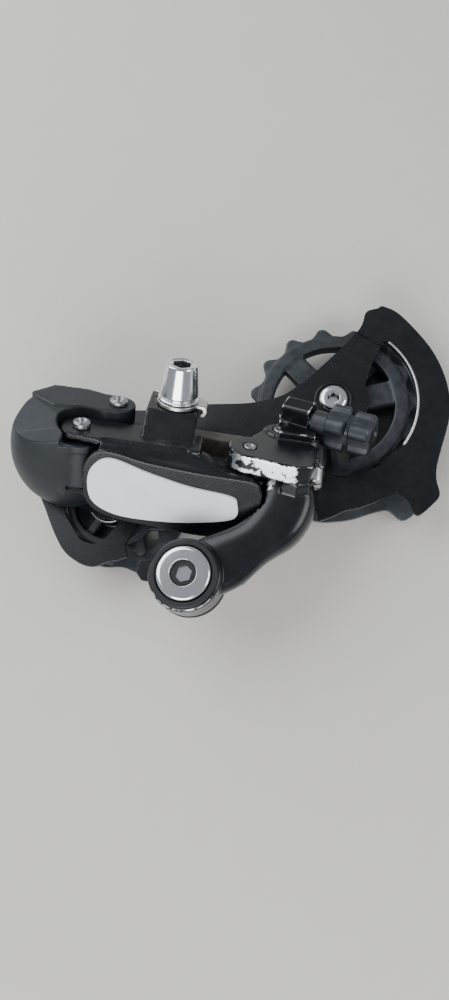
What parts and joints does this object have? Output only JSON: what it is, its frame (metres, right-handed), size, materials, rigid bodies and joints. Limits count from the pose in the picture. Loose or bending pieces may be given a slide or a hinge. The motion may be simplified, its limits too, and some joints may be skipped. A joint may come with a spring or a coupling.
{
  "type": "rear bicycle derailleur",
  "caption": "Long-cage rear derailleur: hanger bolt and bracket, slanted parallelogram links, cable clamp and adjuster, sprung knuckle and a chain cage with two toothed pulleys.",
  "frame": {"origin": "on the mounting bolt's axis, in the plane where the stopper plate seats on the frame's hanger", "axes": "+Z outboard along the mounting bolt, +X towards the rear of the bike, +Y towards the ground when fitted"},
  "size_m": [0.1628, 0.1215, 0.0509],
  "materials": {
    "adjuster_plastic": "mid-grey moulded plastic",
    "black_paint": "satin black paint over cast aluminium, chipped on its edges",
    "black_steel": "thin black coating on pressed steel, edges worn bright",
    "chrome": "polished chrome plate, a little scratched",
    "dust_rubber": "black rubber",
    "knuckle_plastic": "dark blue-grey moulded resin, satin, lightly scuffed",
    "name_silver": "silver-white printed aluminium badge, blank",
    "pulley_plastic": "dark grey acetal, dusty on the teeth",
    "spring_steel": "drawn spring wire",
    "steel": "zinc-plated steel, slightly dull"
  },
  "bodies": {
    "mount": {"mounting_bolt": "chrome", "mount_bushing": "steel", "stopper_plate": "black_steel", "retaining_clip": "spring_steel"},
    "bracket": {"bracket_body": "black_paint", "dust_ring": "dust_rubber", "bracket_spring": "spring_steel", "adjuster_sleeve": "steel", "adjuster_spring": "spring_steel", "pin_outer_bracket": "steel", "pin_inner_bracket": "steel"},
    "barrel": {"barrel_adjuster": "adjuster_plastic"},
    "high_screw": {"limit_screw_high": "steel"},
    "low_screw": {"limit_screw_low": "steel"},
    "tension_screw": {"b_tension_screw": "steel"},
    "outer_link": {"outer_link": "black_paint", "name_plate": "name_silver", "cable_clamp_plate": "steel", "cable_clamp_bolt": "chrome", "return_spring": "spring_steel"},
    "inner_link": {"inner_link": "black_steel"},
    "knuckle": {"knuckle_body": "knuckle_plastic", "cage_spring": "spring_steel", "cage_seal": "dust_rubber", "pin_outer_knuckle": "steel", "pin_inner_knuckle": "steel"},
    "cage": {"cage_outer_plate": "black_steel", "cage_inner_plate": "black_steel", "cage_axle": "steel", "cage_stop_pin": "steel", "tension_pulley_bolt": "chrome", "guide_pulley_bolt": "chrome", "guide_bushing": "steel", "guide_cap_outer": "black_steel", "guide_cap_inner": "black_steel", "tension_bushing": "steel", "tension_cap_outer": "black_steel", "tension_cap_inner": "black_steel"},
    "guide_wheel": {"guide_pulley": "pulley_plastic"},
    "tension_wheel": {"tension_pulley": "pulley_plastic"}
  },
  "joints": [
    {"name": "bracket_hinge", "type": "hinge", "parent": "mount", "child": "bracket", "pos_m": [0, 0, 0], "axis": [0, 0, 1], "range_deg": [0, 30], "stiffness_Nm_per_rad": 0.3, "springref_deg": -45.84},
    {"name": "outer_link_hinge", "type": "hinge", "parent": "bracket", "child": "outer_link", "pos_m": [0.02262, 0.04356, 0.01696], "axis": [-0.2079, -0.6545, -0.7269], "range_deg": [0, 45], "stiffness_Nm_per_rad": 0.5, "springref_deg": -68.75},
    {"name": "inner_link_hinge", "type": "hinge", "parent": "bracket", "child": "inner_link", "pos_m": [0.0324, 0.05257, 0.00605], "axis": [-0.2079, -0.6545, -0.7269], "range_deg": [0, 45]},
    {"name": "knuckle_hinge", "type": "hinge", "parent": "outer_link", "child": "knuckle", "pos_m": [-0.0346, 0.0517, 0.026], "axis": [-0.2079, -0.6545, -0.7269], "range_deg": [-45, 0]},
    {"name": "cage_hinge", "type": "hinge", "parent": "knuckle", "child": "cage", "pos_m": [-0.047, 0.0485, 0], "axis": [0, 0, 1], "range_deg": [0, 110], "stiffness_Nm_per_rad": 0.35, "springref_deg": -57.3},
    {"name": "guide_pulley_spin", "type": "hinge", "parent": "cage", "child": "guide_wheel", "pos_m": [-0.033, 0.0332, -0.0131], "axis": [0, 0, 1], "continuous": true},
    {"name": "tension_pulley_spin", "type": "hinge", "parent": "cage", "child": "tension_wheel", "pos_m": [0.0529, 0.0702, -0.0131], "axis": [0, 0, 1], "continuous": true},
    {"name": "barrel_adjuster_turn", "type": "hinge", "parent": "bracket", "child": "barrel", "pos_m": [0.035, 0.0605, 0.0035], "axis": [0.9129, -0.3651, 0.1826], "continuous": true},
    {"name": "high_limit_turn", "type": "hinge", "parent": "bracket", "child": "high_screw", "pos_m": [0.0462, 0.048, 0.006], "axis": [-0.1377, -0.9905, 0], "continuous": true},
    {"name": "low_limit_turn", "type": "hinge", "parent": "bracket", "child": "low_screw", "pos_m": [0.0462, 0.048, -0.0004], "axis": [-0.1377, -0.9905, 0], "continuous": true},
    {"name": "b_tension_turn", "type": "hinge", "parent": "bracket", "child": "tension_screw", "pos_m": [0.0194, 0.0032, 0.0007], "axis": [0.4983, 0.867, 0], "continuous": true}
  ],
  "couplings": [
    {"joint": "inner_link_hinge", "follows": "outer_link_hinge", "ratio": 1},
    {"joint": "knuckle_hinge", "follows": "outer_link_hinge", "ratio": -1}
  ]
}
